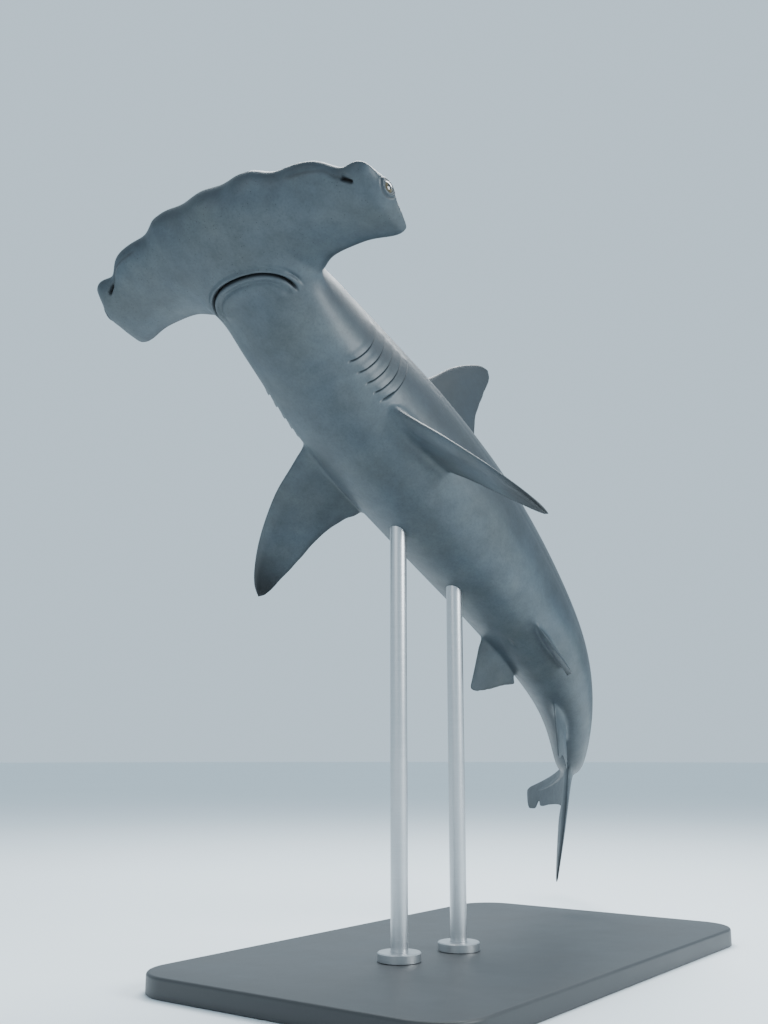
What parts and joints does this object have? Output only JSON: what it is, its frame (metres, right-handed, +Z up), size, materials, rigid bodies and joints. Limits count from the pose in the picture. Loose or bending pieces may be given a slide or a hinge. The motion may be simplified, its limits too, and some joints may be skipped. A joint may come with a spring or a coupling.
{
  "type": "scalloped hammerhead shark model",
  "caption": "Life-size scalloped hammerhead shark, climbing in a gentle turn with its tail swung to the right, held by two rods on a flat plate.",
  "frame": {"origin": "middle of the underside of the stand's base plate", "axes": "+Z up; the shark heads towards -Y and climbs; its left side faces +X"},
  "size_m": [0.8965, 2.0499, 1.5189],
  "materials": {
    "skin": "moist, finely rough hide, dark slate back and paler slate belly",
    "eye": "wet gloss, bronze iris and black upright pupil",
    "stand_plate": "satin powder coat",
    "stand_steel": "brushed"
  },
  "bodies": {
    "root": {"head": "skin", "trunk": "skin", "tail": "skin", "caudal_fin": "skin", "first_dorsal_fin": "skin", "second_dorsal_fin": "skin", "anal_fin": "skin", "pectoral_fin_left": "skin", "pectoral_fin_right": "skin", "pelvic_fin_left": "skin", "pelvic_fin_right": "skin", "eye_left": "eye", "eye_right": "eye", "stand_base": "stand_plate", "stand_collar_front": "stand_steel", "stand_collar_rear": "stand_steel", "stand_rod_front": "stand_steel", "stand_rod_rear": "stand_steel"}
  },
  "joints": []
}
